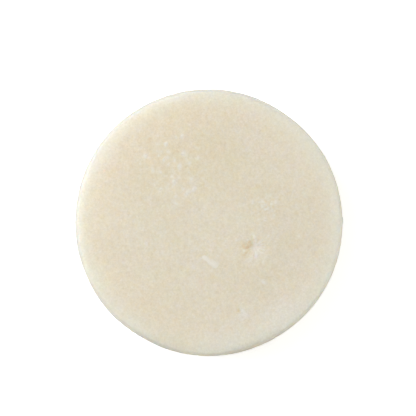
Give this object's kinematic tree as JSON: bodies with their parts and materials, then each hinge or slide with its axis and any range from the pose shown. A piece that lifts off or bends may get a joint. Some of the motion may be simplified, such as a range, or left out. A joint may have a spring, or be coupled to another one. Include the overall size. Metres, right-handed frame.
{
  "type": "shaving soap puck",
  "caption": "Round flat puck of ivory shaving soap with rounded edges, for the well of a shaving bowl or mug, with pale flecks pressed into its lathering face.",
  "frame": {"origin": "centre of the flat underside, on the surface it rests on", "axes": "+Z along the puck's axis, up through the lathering face; +X and +Y across the face, with +Y away from the user and the dent on the +X side"},
  "size_m": [0.07, 0.07, 0.0253],
  "materials": {
    "soap": "satin",
    "pale_soap": "satin"
  },
  "bodies": {
    "root": {"soap_puck": "soap", "pressed_flake": "pale_soap", "pale_grains": "pale_soap"}
  },
  "joints": []
}
